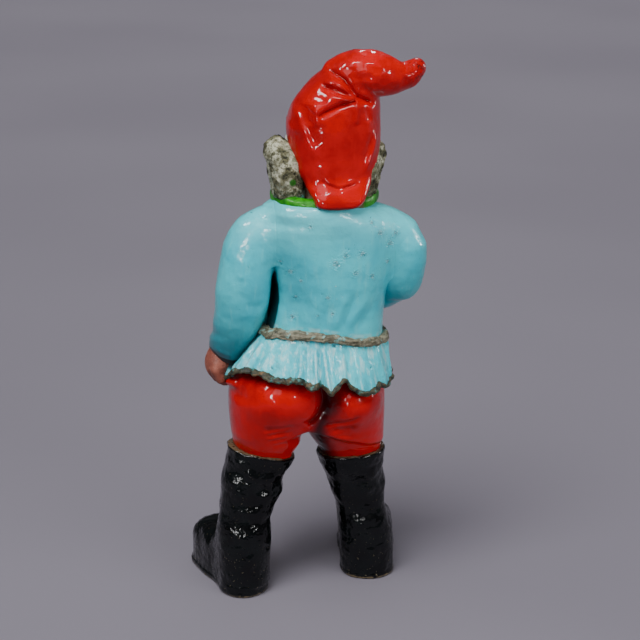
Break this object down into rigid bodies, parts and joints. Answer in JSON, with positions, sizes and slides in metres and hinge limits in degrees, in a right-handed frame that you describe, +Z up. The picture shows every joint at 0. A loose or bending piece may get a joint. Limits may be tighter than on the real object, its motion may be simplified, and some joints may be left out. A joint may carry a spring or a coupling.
{
  "type": "garden gnome",
  "caption": "Standing cast cement garden gnome with a folded-over pointed cap, long beard, belted jacket, one hand in a pocket, and knee boots.",
  "frame": {"origin": "middle of the figure's bounding box on the ground", "axes": "+Z up, the gnome faces -Y, its own left hand is on the +X side"},
  "size_m": [0.3364, 0.2646, 0.7935],
  "materials": {
    "red_gloss": "gloss red masonry paint",
    "turquoise_gloss": "gloss turquoise masonry paint",
    "green_gloss": "worn green masonry paint",
    "black_gloss": "gloss black masonry paint",
    "weathered_white": "weathered white paint over bare cement",
    "flesh_paint": "worn flesh-coloured paint",
    "bronze_trim": "worn brown and grey paint",
    "brass_paint": "dull gold paint",
    "armature_steel": "rusty mild steel bar"
  },
  "bodies": {
    "root": {"cap": "red_gloss", "head": "flesh_paint", "hair_left": "weathered_white", "hair_right": "weathered_white", "beard": "weathered_white", "collar": "green_gloss", "jacket_body": "turquoise_gloss", "jacket_skirt": "turquoise_gloss", "belt": "bronze_trim", "belt_buckle": "brass_paint", "button_upper": "brass_paint", "button_middle": "brass_paint", "button_lower": "brass_paint", "left_sleeve": "turquoise_gloss", "left_hand": "flesh_paint", "right_sleeve": "turquoise_gloss", "right_hand": "flesh_paint", "trousers": "red_gloss", "left_boot": "black_gloss", "right_boot": "black_gloss", "spine_rod": "armature_steel", "shoulder_rod": "armature_steel", "hip_bar": "armature_steel", "left_leg_rod": "armature_steel", "right_leg_rod": "armature_steel", "left_arm_wire": "armature_steel", "right_arm_wire": "armature_steel"}
  },
  "joints": []
}
